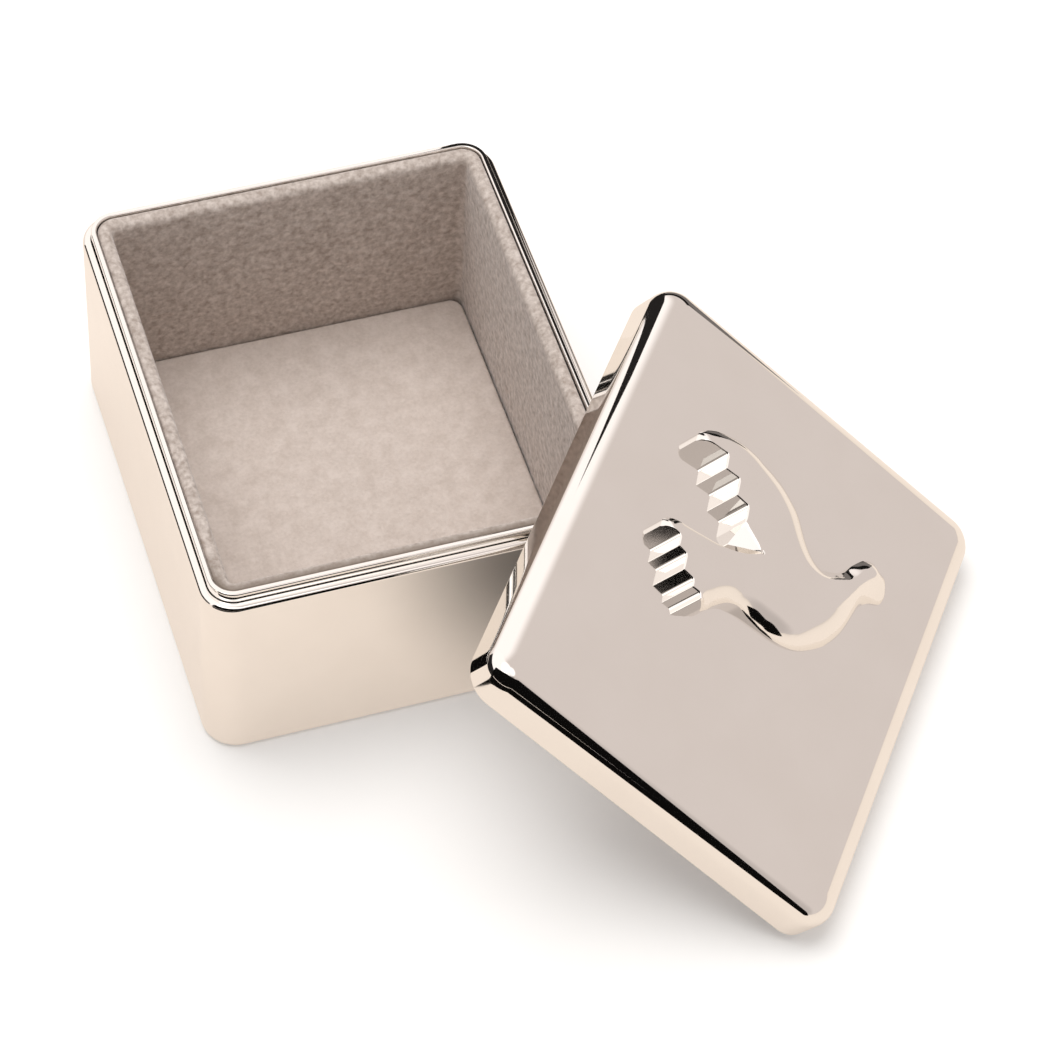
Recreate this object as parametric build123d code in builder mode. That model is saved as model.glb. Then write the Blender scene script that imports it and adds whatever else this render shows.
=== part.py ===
from build123d import *
import os
from math import cos, radians, sin

# A small rectangular box for a rosary: a polished metal shell with a stepped neck, a velvet
# lining, and a lift-off lid that carries a dove in relief. +Z is up, the origin is the middle
# of the underside, and the lid lies off, leaning on the front right corner of the box.

# box shell
box_width = 60.0
box_depth = 71.5
body_height = 31.5
corner_radius = 5.5
shell_wall = 1.1
shell_floor = 0.8
shoulder_radius = 0.7
foot_radius = 1.0

# felt let into the underside
felt_thickness = 0.6
felt_margin = 3.0
felt_clearance = 0.15

# neck that the lid closes over
neck_clearance = 0.1
neck_wall = 1.0
neck_rise = 1.6
neck_lip_radius = 0.25

# wall lining: a card band with velvet folded over its top edge
card_clearance = 0.1
card_thickness = 0.5
velvet_clearance = 0.05
velvet_thickness = 0.9
velvet_top_radius = 0.4
velvet_below_lip = 0.1

# floor lining: a card board with a velvet pad
floor_margin = 0.2
floor_corner_radius = 2.0
floor_board_thickness = 0.5
floor_velvet_thickness = 0.7
floor_velvet_radius = 0.3

# lid
lid_height = 7.5
lid_edge_radius = 3.5
lid_roof = 1.0
lid_mouth_radius = 0.2
lid_board_thickness = 0.6
lid_board_margin = 0.3
lid_velvet_thickness = 1.4
lid_velvet_margin = 1.4
lid_velvet_radius = 0.5
lid_lining_corner_radius = 3.0

# where the lid leans: its long lower edge on the table, its lining on the neck's corner
lid_tilt = 35.0
lid_heading = -37.6
lid_slide = -10.7
lean_gap = 0.2
table_gap = 0.02

# dove in relief
dove_height = 3.3
dove_edge_radius = 2.0
dove_tail_radius = 0.6


def outline(inset, corner=None):
    # The box's rounded rectangle, drawn in by inset on every side. Its corners shrink with it
    # unless a piece has its own corner radius.
    if corner is None:
        corner = corner_radius - inset
    return RectangleRounded(box_width - 2 * inset, box_depth - 2 * inset, corner)


# insets from the outer face, and levels from the table
felt_inset = felt_margin + felt_clearance
neck_outside = shell_wall + neck_clearance
neck_inside = neck_outside + neck_wall
card_outside = neck_inside + card_clearance
card_inside = card_outside + card_thickness
velvet_outside = card_inside + velvet_clearance
velvet_inside = velvet_outside + velvet_thickness
floor_inset = velvet_inside + floor_margin
floor_level = felt_thickness + shell_floor
neck_top = body_height + neck_rise
velvet_top = neck_top - velvet_below_lip
card_top = velvet_top - velvet_thickness

# box shell: a cup with a rounded shoulder and foot, and a shallow recess below for the felt
with BuildPart() as body_shell:
    with BuildSketch():
        outline(0)
    extrude(amount=body_height)
    fillet(body_shell.faces().sort_by(Axis.Z)[-1].edges(), shoulder_radius)
    fillet(body_shell.faces().sort_by(Axis.Z)[0].edges(), foot_radius)
    with BuildSketch(Plane.XY.offset(floor_level)):
        outline(shell_wall)
    extrude(amount=body_height, mode=Mode.SUBTRACT)
    with BuildSketch():
        outline(felt_margin)
    extrude(amount=felt_thickness, mode=Mode.SUBTRACT)

with BuildPart() as base_felt:
    with BuildSketch():
        outline(felt_inset)
    extrude(amount=felt_thickness)

# neck: a sleeve that stands on the shell's floor and rises above the shoulder
with BuildPart() as neck_frame:
    with BuildSketch(Plane.XY.offset(floor_level)):
        outline(neck_outside)
        with BuildSketch(mode=Mode.SUBTRACT):
            outline(neck_inside)
    extrude(amount=neck_top - floor_level)
    fillet(neck_frame.faces().sort_by(Axis.Z)[-1].edges(), neck_lip_radius)

with BuildPart() as wall_card:
    with BuildSketch(Plane.XY.offset(floor_level)):
        outline(card_outside)
        with BuildSketch(mode=Mode.SUBTRACT):
            outline(card_inside)
    extrude(amount=card_top - floor_level)

# wall velvet: covers the card's inner side and is folded over its top edge
with BuildPart() as wall_velvet:
    with BuildSketch(Plane.XY.offset(floor_level)):
        outline(card_outside)
        with BuildSketch(mode=Mode.SUBTRACT):
            outline(velvet_inside)
    extrude(amount=velvet_top - floor_level)
    fillet(wall_velvet.faces().sort_by(Axis.Z)[-1].edges(), velvet_top_radius)
    with BuildSketch(Plane.XY.offset(floor_level)):
        outline(card_outside)
        with BuildSketch(mode=Mode.SUBTRACT):
            outline(velvet_outside)
    extrude(amount=card_top - floor_level, mode=Mode.SUBTRACT)

with BuildPart() as floor_board:
    with BuildSketch(Plane.XY.offset(floor_level)):
        outline(floor_inset, floor_corner_radius)
    extrude(amount=floor_board_thickness)

with BuildPart() as floor_velvet:
    with BuildSketch(Plane.XY.offset(floor_level + floor_board_thickness)):
        outline(floor_inset, floor_corner_radius)
    extrude(amount=floor_velvet_thickness)
    fillet(floor_velvet.faces().sort_by(Axis.Z)[-1].edges(), floor_velvet_radius)

# The lid's own plane lies across its open mouth, with its face on the +Z side. The mouth's
# right edge rests on the table, and the lining touches the neck where its corner stands
# furthest out along the slope.
tilt = radians(lid_tilt)
heading = radians(lid_heading)
lining_level = lid_height - lid_roof - lid_board_thickness - lid_velvet_thickness
lid_rise = box_width / 2 * sin(tilt) + table_gap
neck_corner_radius = corner_radius - neck_outside
neck_corner_x = box_width / 2 - corner_radius
neck_corner_y = corner_radius - box_depth / 2
neck_reach = neck_corner_x * cos(heading) + neck_corner_y * sin(heading) + neck_corner_radius
neck_above_mouth = (neck_top - lid_rise) * cos(tilt)
lid_reach = neck_reach + (neck_above_mouth + lean_gap - lining_level) / sin(tilt)
lid_plane = Plane(
    origin=(
        lid_reach * cos(heading) - lid_slide * sin(heading),
        lid_reach * sin(heading) + lid_slide * cos(heading),
        lid_rise,
    ),
    x_dir=(cos(tilt) * cos(heading), cos(tilt) * sin(heading), -sin(tilt)),
    z_dir=(sin(tilt) * cos(heading), sin(tilt) * sin(heading), cos(tilt)),
)
lid_axis = Axis(lid_plane.origin, lid_plane.z_dir)
lid_inner_radius = lid_edge_radius - shell_wall

# lid shell: a shallow cap with a large rounded edge, as wide as the box shell
with BuildPart() as lid_shell:
    with BuildSketch(lid_plane):
        outline(0)
    extrude(amount=lid_height)
    fillet(lid_shell.faces().sort_by(lid_axis)[-1].edges(), lid_edge_radius)
    with BuildSketch(lid_plane):
        outline(shell_wall)
    extrude(amount=lid_height - lid_roof, mode=Mode.SUBTRACT)
    roof = lid_shell.faces().filter_by(lid_plane).sort_by(lid_axis)[-2]
    fillet(roof.edges(), lid_inner_radius)
    mouth = lid_shell.faces().sort_by(lid_axis)[0]
    fillet(mouth.edges(), lid_mouth_radius)

# lid lining: a card board under the roof with a velvet pad below it
board_inset = lid_edge_radius + lid_board_margin
pad_inset = shell_wall + lid_velvet_margin

with BuildPart() as lid_board:
    with BuildSketch(lid_plane.offset(lining_level + lid_velvet_thickness)):
        outline(board_inset, lid_lining_corner_radius)
    extrude(amount=lid_board_thickness)

with BuildPart() as lid_velvet:
    with BuildSketch(lid_plane.offset(lining_level)):
        outline(pad_inset, lid_lining_corner_radius)
    extrude(amount=lid_velvet_thickness)
    fillet(lid_velvet.faces().sort_by(lid_axis)[0].edges(), lid_velvet_radius)

# Dove, in the face's own x and y: a smooth body with a rounded edge, whose wing and tail are
# then cut into stepped feather ends, with a notch between them
body_points = [
    (-22.0, 9.0), (-16.5, 16.2), (-10.0, 18.4), (-2.8, 16.6), (3.4, 12.0), (7.6, 9.9),
    (11.2, 12.4), (14.8, 16.0), (18.0, 14.6), (18.6, 11.6), (15.9, 8.5), (14.9, 5.0),
    (12.5, -0.2), (8.2, -3.9), (2.5, -4.7), (-2.0, -5.0), (-6.4, -8.0), (-12.0, -12.5),
    (-21.0, -9.0), (-24.0, 0.0),
]
tail_feathers = [
    (-6.4, -8.0), (-7.0, -8.8), (-8.6, -8.9), (-9.1, -8.2), (-10.4, -8.2), (-10.7, -7.1),
    (-12.6, -6.9), (-13.0, -4.5), (-14.6, -4.3), (-14.8, -2.4), (-16.9, -2.2), (-17.0, 0.3),
]
tail_back = [(-17.0, 0.3), (-15.9, 1.5), (-11.5, 1.8), (-6.5, 2.9), (-1.8, 6.2)]
wing_feathers = [
    (-1.8, 6.2), (-3.6, 6.9), (-5.4, 6.5), (-6.9, 6.5), (-7.3, 8.8), (-9.6, 8.9),
    (-10.1, 11.5), (-12.6, 11.3), (-13.1, 13.6), (-17.2, 13.2), (-17.6, 20.0),
]
beyond_the_dove = [(-17.6, 20.0), (25.0, 20.0), (25.0, -12.0), (-6.4, -12.0), (-6.4, -8.0)]
dove_plane = lid_plane.offset(lid_height)

with BuildPart() as dove_relief:
    with BuildSketch(dove_plane):
        with BuildLine():
            Spline(*body_points, periodic=True)
        make_face()
    extrude(amount=dove_height)
    fillet(dove_relief.faces().sort_by(lid_axis)[-1].edges(), dove_edge_radius)
    with BuildSketch(dove_plane):
        with BuildLine():
            Polyline(*tail_feathers)
            Spline(*tail_back)
            Polyline(*wing_feathers)
            Polyline(*beyond_the_dove)
        make_face()
    extrude(amount=dove_height, mode=Mode.INTERSECT)
    above_tail = dove_plane.from_local_coords((*tail_back[2], dove_height))
    top_edges = dove_relief.faces().sort_by(lid_axis)[-1].edges()
    fillet(top_edges.sort_by_distance(above_tail)[0], dove_tail_radius)

os.makedirs("parts", exist_ok=True)

body_shell.part.label = "body_shell"
export_step(body_shell.part, "parts/body_shell.step")
base_felt.part.label = "base_felt"
export_step(base_felt.part, "parts/base_felt.step")
neck_frame.part.label = "neck_frame"
export_step(neck_frame.part, "parts/neck_frame.step")
wall_card.part.label = "wall_card"
export_step(wall_card.part, "parts/wall_card.step")
wall_velvet.part.label = "wall_velvet"
export_step(wall_velvet.part, "parts/wall_velvet.step")
floor_board.part.label = "floor_board"
export_step(floor_board.part, "parts/floor_board.step")
floor_velvet.part.label = "floor_velvet"
export_step(floor_velvet.part, "parts/floor_velvet.step")
lid_shell.part.label = "lid_shell"
export_step(lid_shell.part, "parts/lid_shell.step")
lid_board.part.label = "lid_board"
export_step(lid_board.part, "parts/lid_board.step")
lid_velvet.part.label = "lid_velvet"
export_step(lid_velvet.part, "parts/lid_velvet.step")
dove_relief.part.label = "dove_relief"
export_step(dove_relief.part, "parts/dove_relief.step")
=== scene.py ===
from math import cos, pi, radians, sin

import bpy
import numpy as np
from mathutils import Matrix, Vector
from mathutils.geometry import delaunay_2d_cdt


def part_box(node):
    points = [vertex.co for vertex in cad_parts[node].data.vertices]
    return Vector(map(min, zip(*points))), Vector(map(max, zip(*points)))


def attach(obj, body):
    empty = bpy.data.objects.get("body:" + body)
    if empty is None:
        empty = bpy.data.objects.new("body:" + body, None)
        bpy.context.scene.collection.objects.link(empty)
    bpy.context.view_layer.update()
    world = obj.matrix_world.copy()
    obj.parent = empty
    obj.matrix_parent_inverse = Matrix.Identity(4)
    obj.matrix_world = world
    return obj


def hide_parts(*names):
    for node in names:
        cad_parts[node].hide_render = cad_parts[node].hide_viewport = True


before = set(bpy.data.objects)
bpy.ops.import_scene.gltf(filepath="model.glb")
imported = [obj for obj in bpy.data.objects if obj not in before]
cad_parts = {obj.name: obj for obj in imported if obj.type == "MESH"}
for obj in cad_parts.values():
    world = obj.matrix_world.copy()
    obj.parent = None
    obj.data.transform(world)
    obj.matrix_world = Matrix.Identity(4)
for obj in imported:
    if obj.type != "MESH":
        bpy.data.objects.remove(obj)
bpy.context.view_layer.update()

mm = 0.001                 # lengths below are in mm unless a note says otherwise


def filletPath(corners, radii, guard, steps=10):
    # A polyline whose corners are rounded by tangent arcs: each arc runs over
    # centre + radius * (cos a, sin a), with a guard row just before and after it,
    # so that the smooth shading of the flats stays flat.
    corners = np.array(corners, float)
    rows = [corners[:1]]
    for before, corner, after, radius in zip(corners[:-2], corners[1:-1], corners[2:], radii):
        inward = (corner - before) / np.linalg.norm(corner - before)
        onward = (after - corner) / np.linalg.norm(after - corner)
        turn = np.arctan2(inward[0] * onward[1] - inward[1] * onward[0], inward @ onward)
        tangent = radius * np.tan(abs(turn) / 2)
        side = np.sign(turn) * np.array([-inward[1], inward[0]])
        centre = corner - inward * tangent + side * radius
        share = np.linspace(0, 1, steps + 1)[:, None] * abs(turn)
        bend = centre + radius * (inward * np.sin(share) - side * np.cos(share))
        rows += [(corner - inward * (tangent + guard))[None], bend,
                 (corner + onward * (tangent + guard))[None]]
    return np.concatenate(rows + [corners[-1:]])


def outlineWalk(arcSteps, widthSteps, depthSteps):
    # Once round a rounded rectangle, counter-clockwise: for each point, how far the corner
    # centre has slid towards each side (-1 to 1), and the outline's outward direction.
    signs = np.array([(1, 1), (-1, 1), (-1, -1), (1, -1)], float)
    slide, out = [], []
    for k, steps in enumerate((widthSteps, depthSteps, widthSteps, depthSteps)):
        angle = radians(90 * k) + np.linspace(0, pi / 2, arcSteps + 1)
        along = np.linspace(0, 1, steps + 1)[1:-1, None]
        slide += [np.repeat(signs[k:k + 1], arcSteps + 1, axis=0),
                  signs[k] * (1 - along) + signs[(k + 1) % 4] * along]
        out += [np.column_stack([np.cos(angle), np.sin(angle)]),
                np.repeat([[cos(angle[-1]), sin(angle[-1])]], steps - 1, axis=0)]
    return np.concatenate(slide), np.concatenate(out)


def sweepRound(walk, width, depth, corner, profile):
    # A profile of (inset, height) rows carried round the rounded rectangle: the corner centre
    # slid along the sides, plus what is left of the corner radius along the outward direction.
    slide, out = walk
    inset, height = np.array(profile, float).T
    leastRadius = 0.8      # of the rows that lie far in
    radius = np.maximum(corner - inset, leastRadius)
    reach = np.array([width, depth]) / 2 - (inset + radius)[:, None]
    flat = slide[:, None] * reach[None] + out[:, None] * radius[None, :, None]
    level = np.broadcast_to(height[None, :, None], flat.shape[:2] + (1,))
    return np.concatenate([flat, level], axis=2)


def gridPiece(name, points, body, roundRows=False, poles=False, place=Matrix.Identity(4)):
    # A grid of points, closed along its first direction, as a mesh: with roundRows its last
    # row meets its first, and with poles each of the two closes on a point at its centre.
    around, rows = points.shape[:2]
    index = np.arange(around * rows).reshape(around, rows)
    ahead = np.roll(index, -1, axis=0)
    if roundRows:
        above, aboveAhead = np.roll(index, -1, axis=1), np.roll(ahead, -1, axis=1)
        faces = np.stack([index, ahead, aboveAhead, above], axis=2).reshape(-1, 4).tolist()
    else:
        quads = np.stack([index[:, :-1], ahead[:, :-1], ahead[:, 1:], index[:, 1:]], axis=2)
        faces = quads.reshape(-1, 4).tolist()
    vertices = points.reshape(-1, 3)
    if poles:
        centres = np.stack([points[:, 0].mean(axis=0), points[:, -1].mean(axis=0)])
        vertices = np.concatenate([vertices, centres])
        first, last = around * rows, around * rows + 1
        start = np.column_stack([ahead[:, 0], index[:, 0], np.full(around, first)])
        end = np.column_stack([index[:, -1], ahead[:, -1], np.full(around, last)])
        faces += start.tolist() + end.tolist()
    return meshPiece(name, vertices, faces, body, place)


def meshPiece(name, vertices, faces, body, place=Matrix.Identity(4)):
    # Vertices in mm, put in their place in the mesh, so that the object stays at the origin
    mesh = bpy.data.meshes.new(name)
    mesh.from_pydata((np.asarray(vertices) * mm).tolist(), [], faces)
    mesh.transform(place)
    mesh.validate()
    mesh.polygons.foreach_set("use_smooth", np.full(len(mesh.polygons), True))
    piece = bpy.data.objects.new(name, mesh)
    bpy.context.scene.collection.objects.link(piece)
    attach(piece, body)
    return piece


def pile(shape, spacing, tuft, seed):
    # A field of tufts: white noise smoothed over a tuft's size, with a spread of 1
    rng = np.random.default_rng(seed)
    noise = np.fft.fft2(rng.normal(size=shape))
    turns = np.hypot(*np.meshgrid(*[np.fft.fftfreq(n) for n in shape], indexing="ij"))
    field = np.fft.ifft2(noise * np.exp(-2 * (pi * turns * tuft / spacing) ** 2)).real
    return field / field.std()


# The lid's own frame starts at its mouth's middle and is found from where its board lies
lidPose = {
    "tilt": 35.0,          # degrees that the lid leans over
    "heading": -37.6,      # degrees, the way that its face looks
    "boardMiddle": 6.2,    # from the lid's mouth to the middle of its board
}


def lidMatrix():
    tilt, heading = radians(lidPose["tilt"]), radians(lidPose["heading"])
    xAxis = Vector((cos(tilt) * cos(heading), cos(tilt) * sin(heading), -sin(tilt)))
    zAxis = Vector((sin(tilt) * cos(heading), sin(tilt) * sin(heading), cos(tilt)))
    yAxis = zAxis.cross(xAxis)
    low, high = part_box("lid_board")
    origin = (low + high) / 2 - zAxis * lidPose["boardMiddle"] * mm
    turn = Matrix((xAxis, yAxis, zAxis)).transposed().to_4x4()
    return Matrix.Translation(origin) @ turn


onLid = lidMatrix()

case = {
    "width": 60.0,
    "depth": 71.5,
    "height": 31.5,
    "corner": 4.8,
    "wall": 1.1,
    "floor": 1.4,          # top of the metal floor
    "recess": 0.6,         # depth of the felt's recess
    "recessInset": 3.0,
    "recessEdge": 0.1,     # radius of the recess's edges
    "foot": 1.0,           # radius at the foot
    "shoulder": 0.75,      # radius at the shoulder
    "rim": 0.08,           # radius of the wall's inner upper edge
    "innerFoot": 0.4,      # radius where the wall meets the floor inside
    "flats": (1.0, 3.0),   # how far the flats below and inside run in before they close
    "guard": 0.1,          # distance of the guard rows
    "steps": (20, 6, 8),   # round a corner, along the width and along the depth
}


def makeCase():
    # The profile goes from the felt's recess round the foot, up the wall and down inside
    c = case
    below, inside = c["flats"]
    profile = filletPath(
        [(c["recessInset"] + below, c["recess"]), (c["recessInset"], c["recess"]),
         (c["recessInset"], 0), (0, 0), (0, c["height"]), (c["wall"], c["height"]),
         (c["wall"], c["floor"]), (c["wall"] + inside, c["floor"])],
        [c["recessEdge"], c["recessEdge"], c["foot"], c["shoulder"], c["rim"], c["innerFoot"]],
        guard=c["guard"])
    walk = outlineWalk(*c["steps"])
    points = sweepRound(walk, c["width"], c["depth"], c["corner"], profile)
    return gridPiece("box_case", points, "box", poles=True)


neck = {
    "outside": 1.2,        # inset of the neck's outer face
    "inside": 2.0,         # and of its inner face
    "underside": (1.7, 1.9),        # insets where the profile starts and ends below
    "top": 33.1,
    "lip": 0.25,           # radius of the upper edges
    "edge": 0.1,           # and of the lower ones
    "guard": 0.08,
}


def makeNeck():
    # The profile goes up the outer face, over the lip and down the inner face
    n = neck
    bottom = case["floor"]
    start, end = n["underside"]
    profile = filletPath(
        [(start, bottom), (n["outside"], bottom), (n["outside"], n["top"]),
         (n["inside"], n["top"]), (n["inside"], bottom), (end, bottom)],
        [n["edge"], n["lip"], n["lip"], n["edge"]], guard=n["guard"])
    walk = outlineWalk(*case["steps"])
    points = sweepRound(walk, case["width"], case["depth"], case["corner"], profile)
    return gridPiece("box_neck", points, "box", roundRows=True)


cap = {
    "height": 7.5,
    "roof": 1.0,           # thickness of the face
    "wall": 1.1,
    "mouth": 0.2,          # radius of the mouth's edges
    "edgeIn": 6.5,         # how far the rounded edge reaches in over the face
    "edgeDown": 4.0,       # and down the skirt
    "fullness": 2.7,       # 2 is an ellipse, more is squarer
    "edgeRows": 41,
    "innerRadius": 2.4,
    "corner": 4.4,
    "flats": (0.6, 1.0),   # how far the face and the roof inside run in before they close
    "guard": 0.1,
    "steps": (24, 8, 10),
}


def makeCap():
    # The edge is a superellipse, so the curve fades into the face and the skirt:
    # inset = edgeIn (1 - cos(t)^(2/n)), drop = edgeDown (1 - sin(t)^(2/n))
    c = cap
    t = np.linspace(0, pi / 2, c["edgeRows"])
    power = 2 / c["fullness"]
    edge = np.column_stack([
        c["edgeIn"] * (1 - np.cos(t) ** power),
        c["height"] - c["edgeDown"] * (1 - np.sin(t) ** power)])
    edge[-1, 0] = c["edgeIn"]
    face, inner = c["flats"]
    roof = c["height"] - c["roof"]
    skirt = (0, c["height"] - c["edgeDown"])
    inside = filletPath([(c["edgeIn"] + inner, roof), (c["wall"], roof), (c["wall"], 0), (0, 0), skirt],
                        [c["innerRadius"], c["mouth"], c["mouth"]], guard=c["guard"])
    profile = np.concatenate([inside[:-1], edge, [[c["edgeIn"] + face, c["height"]]]])
    walk = outlineWalk(*c["steps"])
    points = sweepRound(walk, case["width"], case["depth"], c["corner"], profile)
    return gridPiece("lid_cap", points, "lid", poles=True, place=onLid)


dove = {
    "chop": 0.28,          # radius along the cut feather ends
    "spacing": 0.33,       # between the points of the mesh
    "rowStep": 0.87,       # between its rows, as a share of that
    "rings": (0.06, 0.14, 0.24, 0.42, 0.68),    # insets of the rows that follow the outline
    "ringKeep": 0.93,      # a ring's point goes where it is nearer the outline than this share
    "ringClear": 0.6,      # free spacing between the last ring and the rows
    "guard": 0.06,         # a row this far below the upper edge of the foot
    "leastHeight": 0.05,
    "sharpAngle": 42,      # degrees, from which an edge is shaded sharp
    "trueEdge": 0.5,       # how far in the plain distance to the outline holds
    "trueFade": 1.2,       # and over how far it turns into the one without a crease
    "rampBlend": 0.5,      # height over which the ramp and the top run into each other
    # each point of the foot's outline, then the dome there: radius, slope in degrees and the
    # height of its upright foot
    "smoothSide": [
        (-17.6, 13.1, 2.5, 70, 2.0), (-17.8, 13.85, 2.5, 70, 2.0), (-17.55, 14.6, 2.8, 60, 2.2),
        (-16.9, 15.2, 3.2, 46, 2.5), (-15.9, 15.85, 3.5, 42, 2.6), (-14.4, 16.55, 3.5, 42, 2.6),
        (-12.55, 17.05, 3.5, 42, 2.6), (-10.65, 17.3, 3.5, 42, 2.6), (-8.55, 17.4, 3.9, 44, 2.4),
        (-6.4, 17.55, 4.8, 50, 1.75), (-4.25, 17.6, 5.6, 54, 1.15), (-2.4, 17.1, 5.8, 55, 1.05),
        (-0.6, 16.15, 5.8, 55, 1.05), (0.9, 15.2, 5.8, 55, 1.05), (2.4, 13.7, 5.8, 55, 1.05),
        (3.9, 12.0, 5.8, 55, 1.05), (5.5, 10.7, 5.8, 55, 1.05), (7.4, 10.05, 5.8, 55, 1.05),
        (9.1, 10.25, 8.0, 50, 2.2), (10.4, 11.3, 8.0, 50, 2.2), (11.0, 12.75, 8.0, 50, 2.2),
        (11.7, 14.0, 8.0, 50, 2.2), (12.75, 15.35, 8.0, 50, 2.2), (14.0, 16.0, 8.0, 50, 2.2),
        (15.2, 16.3, 5.8, 55, 1.05), (16.3, 16.35, 5.8, 55, 1.05), (17.1, 16.05, 5.8, 55, 1.05),
        (17.8, 15.5, 5.4, 62, 0.7), (18.3, 14.7, 5.1, 70, 0.2), (18.6, 13.6, 5.1, 70, 0.2),
        (18.5, 12.8, 5.1, 70, 0.2), (17.9, 12.25, 5.1, 70, 0.2), (17.1, 11.8, 5.1, 70, 0.2),
        (16.4, 11.2, 5.1, 70, 0.2), (15.8, 10.4, 5.1, 70, 0.2), (15.4, 9.4, 5.1, 70, 0.2),
        (15.2, 8.4, 5.1, 70, 0.2), (14.95, 6.8, 5.1, 70, 0.2), (14.6, 5.0, 5.1, 70, 0.2),
        (14.1, 3.4, 5.1, 70, 0.2), (13.4, 1.9, 5.1, 70, 0.2), (12.5, 0.4, 5.1, 70, 0.2),
        (11.4, -0.9, 5.1, 70, 0.2), (10.3, -2.0, 5.1, 70, 0.2), (8.8, -3.1, 5.1, 70, 0.2),
        (5.9, -4.05, 5.1, 70, 0.2), (3.0, -4.25, 5.1, 70, 0.2), (0.0, -4.15, 4.6, 70, 0.6),
        (-2.0, -4.15, 3.6, 70, 1.25), (-3.7, -4.85, 3.6, 70, 1.25), (-4.7, -5.85, 3.6, 70, 1.25),
        (-5.5, -6.95, 3.6, 70, 1.25), (-6.3, -8.2, 3.6, 70, 1.25), (-6.9, -8.8, 3.6, 70, 1.25)],
    "tailBack": [
        (-17.4, -2.3, 2.5, 70, 2.0), (-17.62, -1.6, 2.5, 70, 2.0), (-17.4, -1.0, 3.0, 60, 2.0),
        (-16.7, -0.65, 4.5, 40, 2.5), (-15.6, -0.5, 5.8, 25, 2.9), (-13.7, -0.24, 5.8, 25, 2.9),
        (-11.2, 0.22, 5.8, 25, 2.9), (-8.5, 0.79, 5.8, 25, 2.9), (-6.0, 1.69, 5.8, 25, 2.95),
        (-3.7, 3.02, 5.8, 20, 3.15), (-2.5, 4.13, 5.8, 15, 3.3)],
    "tailFeathers": [
        (-6.9, -8.8), (-8.6, -8.9), (-9.1, -8.2), (-10.4, -8.2), (-10.7, -7.1), (-12.6, -6.9),
        (-13.0, -4.5), (-14.6, -4.3), (-14.9, -2.5), (-17.4, -2.3)],
    "wingFeathers": [
        (-2.5, 4.13), (-6.8, 3.4), (-6.8, 6.3), (-7.3, 8.8), (-9.6, 8.9), (-10.1, 11.5),
        (-12.6, 11.3), (-13.1, 13.6), (-17.6, 13.1)],
    "ceiling": 3.56,       # the flat top of the head and the tips
    "rampTop": (-2.5, 4.13, 3.4),   # a point on the top edge of the ramp between tail and wing
    "rampFaces": (-0.484, -0.875),  # the way that it falls
    "rampSlope": 45.0,
    "tipRadius": 0.45,     # of a feather's outer corners
    "creaseRadius": 0.12,  # and of the corners between two
    "tipGuard": 0.03,
    "tipSteps": 5,
}


def splineThrough(rows, spacing):
    # Natural cubic spline through the points, by chord length; further columns run straight
    table = np.array(rows, float)
    p = table[:, :2]
    h = np.linalg.norm(np.diff(p, axis=0), axis=1)
    n = len(p)
    system = np.eye(n)
    right = np.zeros((n, 2))
    inner = np.arange(1, n - 1)
    system[inner, inner - 1], system[inner, inner + 1] = h[:-1], h[1:]
    system[inner, inner] = 2 * (h[:-1] + h[1:])
    slopes = np.diff(p, axis=0) / h[:, None]
    right[1:-1] = 6 * np.diff(slopes, axis=0)
    bend = np.linalg.solve(system, right)
    knots = np.concatenate([[0], np.cumsum(h)])
    s = np.linspace(0, knots[-1], int(knots[-1] / spacing) + 1)
    k = np.clip(np.searchsorted(knots, s, side="right") - 1, 0, n - 2)
    a, b, step = (knots[k + 1] - s)[:, None], (s - knots[k])[:, None], h[k][:, None]
    curve = (bend[k] * a ** 3 / (6 * step) + bend[k + 1] * b ** 3 / (6 * step)
             + (p[k] / step - bend[k] * step / 6) * a + (p[k + 1] / step - bend[k + 1] * step / 6) * b)
    return curve, np.column_stack([np.interp(s, knots, column) for column in table[:, 2:].T])


def polylineThrough(points, spacing):
    # Straight runs through the points, cut into steps of about the spacing
    p = np.array(points, float)
    runs = [np.linspace(a, b, max(2, int(np.linalg.norm(b - a) / spacing) + 1))[:-1]
            for a, b in zip(p[:-1], p[1:])]
    return np.concatenate(runs + [p[-1:]])


def roundedFeathers(corners):
    # An outer corner turns left, a crease turns right
    run = np.diff(np.array(corners), axis=0)
    turn = run[:-1, 0] * run[1:, 1] - run[:-1, 1] * run[1:, 0]
    radii = np.where(turn > 0, dove["tipRadius"], dove["creaseRadius"])
    return filletPath(corners, radii, guard=dove["tipGuard"], steps=dove["tipSteps"])


def distanceTo(points, line):
    # Distance from each point to the nearest place on a polyline
    a, b = line[:-1], line[1:]
    run = b - a
    share = ((points[:, None] - a) * run).sum(axis=2) / (run ** 2).sum(axis=1)
    nearest = a + np.clip(share, 0, 1)[:, :, None] * run
    return np.linalg.norm(points[:, None] - nearest, axis=2).min(axis=1)


def insideOf(points, loop):
    # True where a ray along +x crosses the loop an odd number of times
    a, b = loop, np.roll(loop, -1, axis=0)
    x, y = points[:, :1], points[:, 1:]
    spans = (a[:, 1] > y) != (b[:, 1] > y)
    rise = np.where(b[:, 1] == a[:, 1], 1e-9, b[:, 1] - a[:, 1])    # never 0, as it divides
    crossing = a[:, 0] + (y - a[:, 1]) / rise * (b[:, 0] - a[:, 0])
    return (spans & (x < crossing)).sum(axis=1) % 2 == 1


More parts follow.
